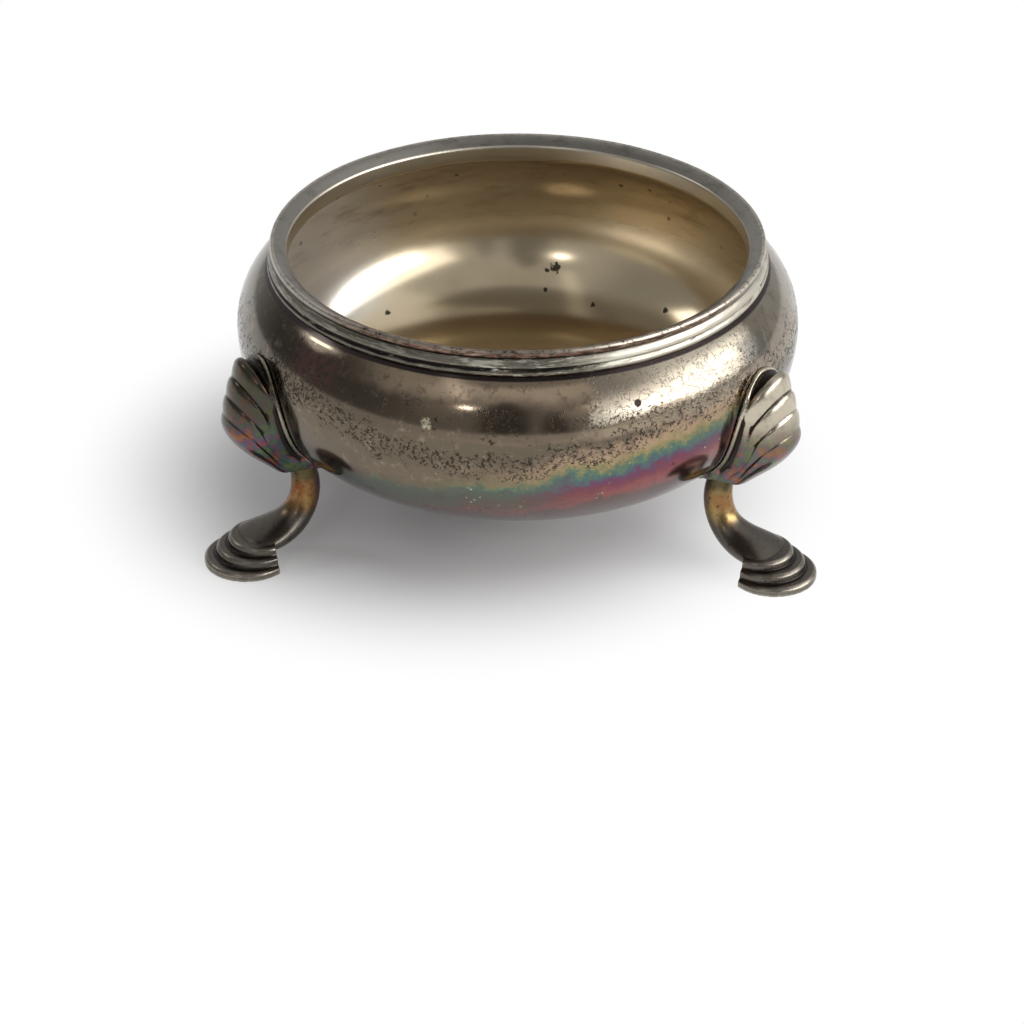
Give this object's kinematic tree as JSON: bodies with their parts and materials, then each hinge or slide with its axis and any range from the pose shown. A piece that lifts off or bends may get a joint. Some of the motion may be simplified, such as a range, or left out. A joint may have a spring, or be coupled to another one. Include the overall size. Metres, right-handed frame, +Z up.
{
  "type": "salt cellar",
  "caption": "Low round silver salt bowl with a moulded neck wire, standing on cast legs with lobed shell knees and lobed shell feet, for holding table salt.",
  "frame": {"origin": "on the table plane, under the middle of the bowl", "axes": "+Z up along the bowl's axis, -Y towards the front between the two front feet, +X to the right"},
  "size_m": [0.0694, 0.0713, 0.0333],
  "materials": {
    "bowl_silver": "tarnished silver, satin",
    "wire_silver": "tarnished silver, worn bright on the edges",
    "knee_silver": "tarnished cast silver, satin",
    "leg_silver": "tarnished cast silver, golden"
  },
  "bodies": {
    "root": {"bowl": "bowl_silver", "rim_moulding": "wire_silver", "knee_shell_right": "knee_silver", "knee_shell_left": "knee_silver", "knee_shell_rear": "knee_silver", "leg_right": "leg_silver", "leg_left": "leg_silver", "leg_rear": "leg_silver"}
  },
  "joints": []
}
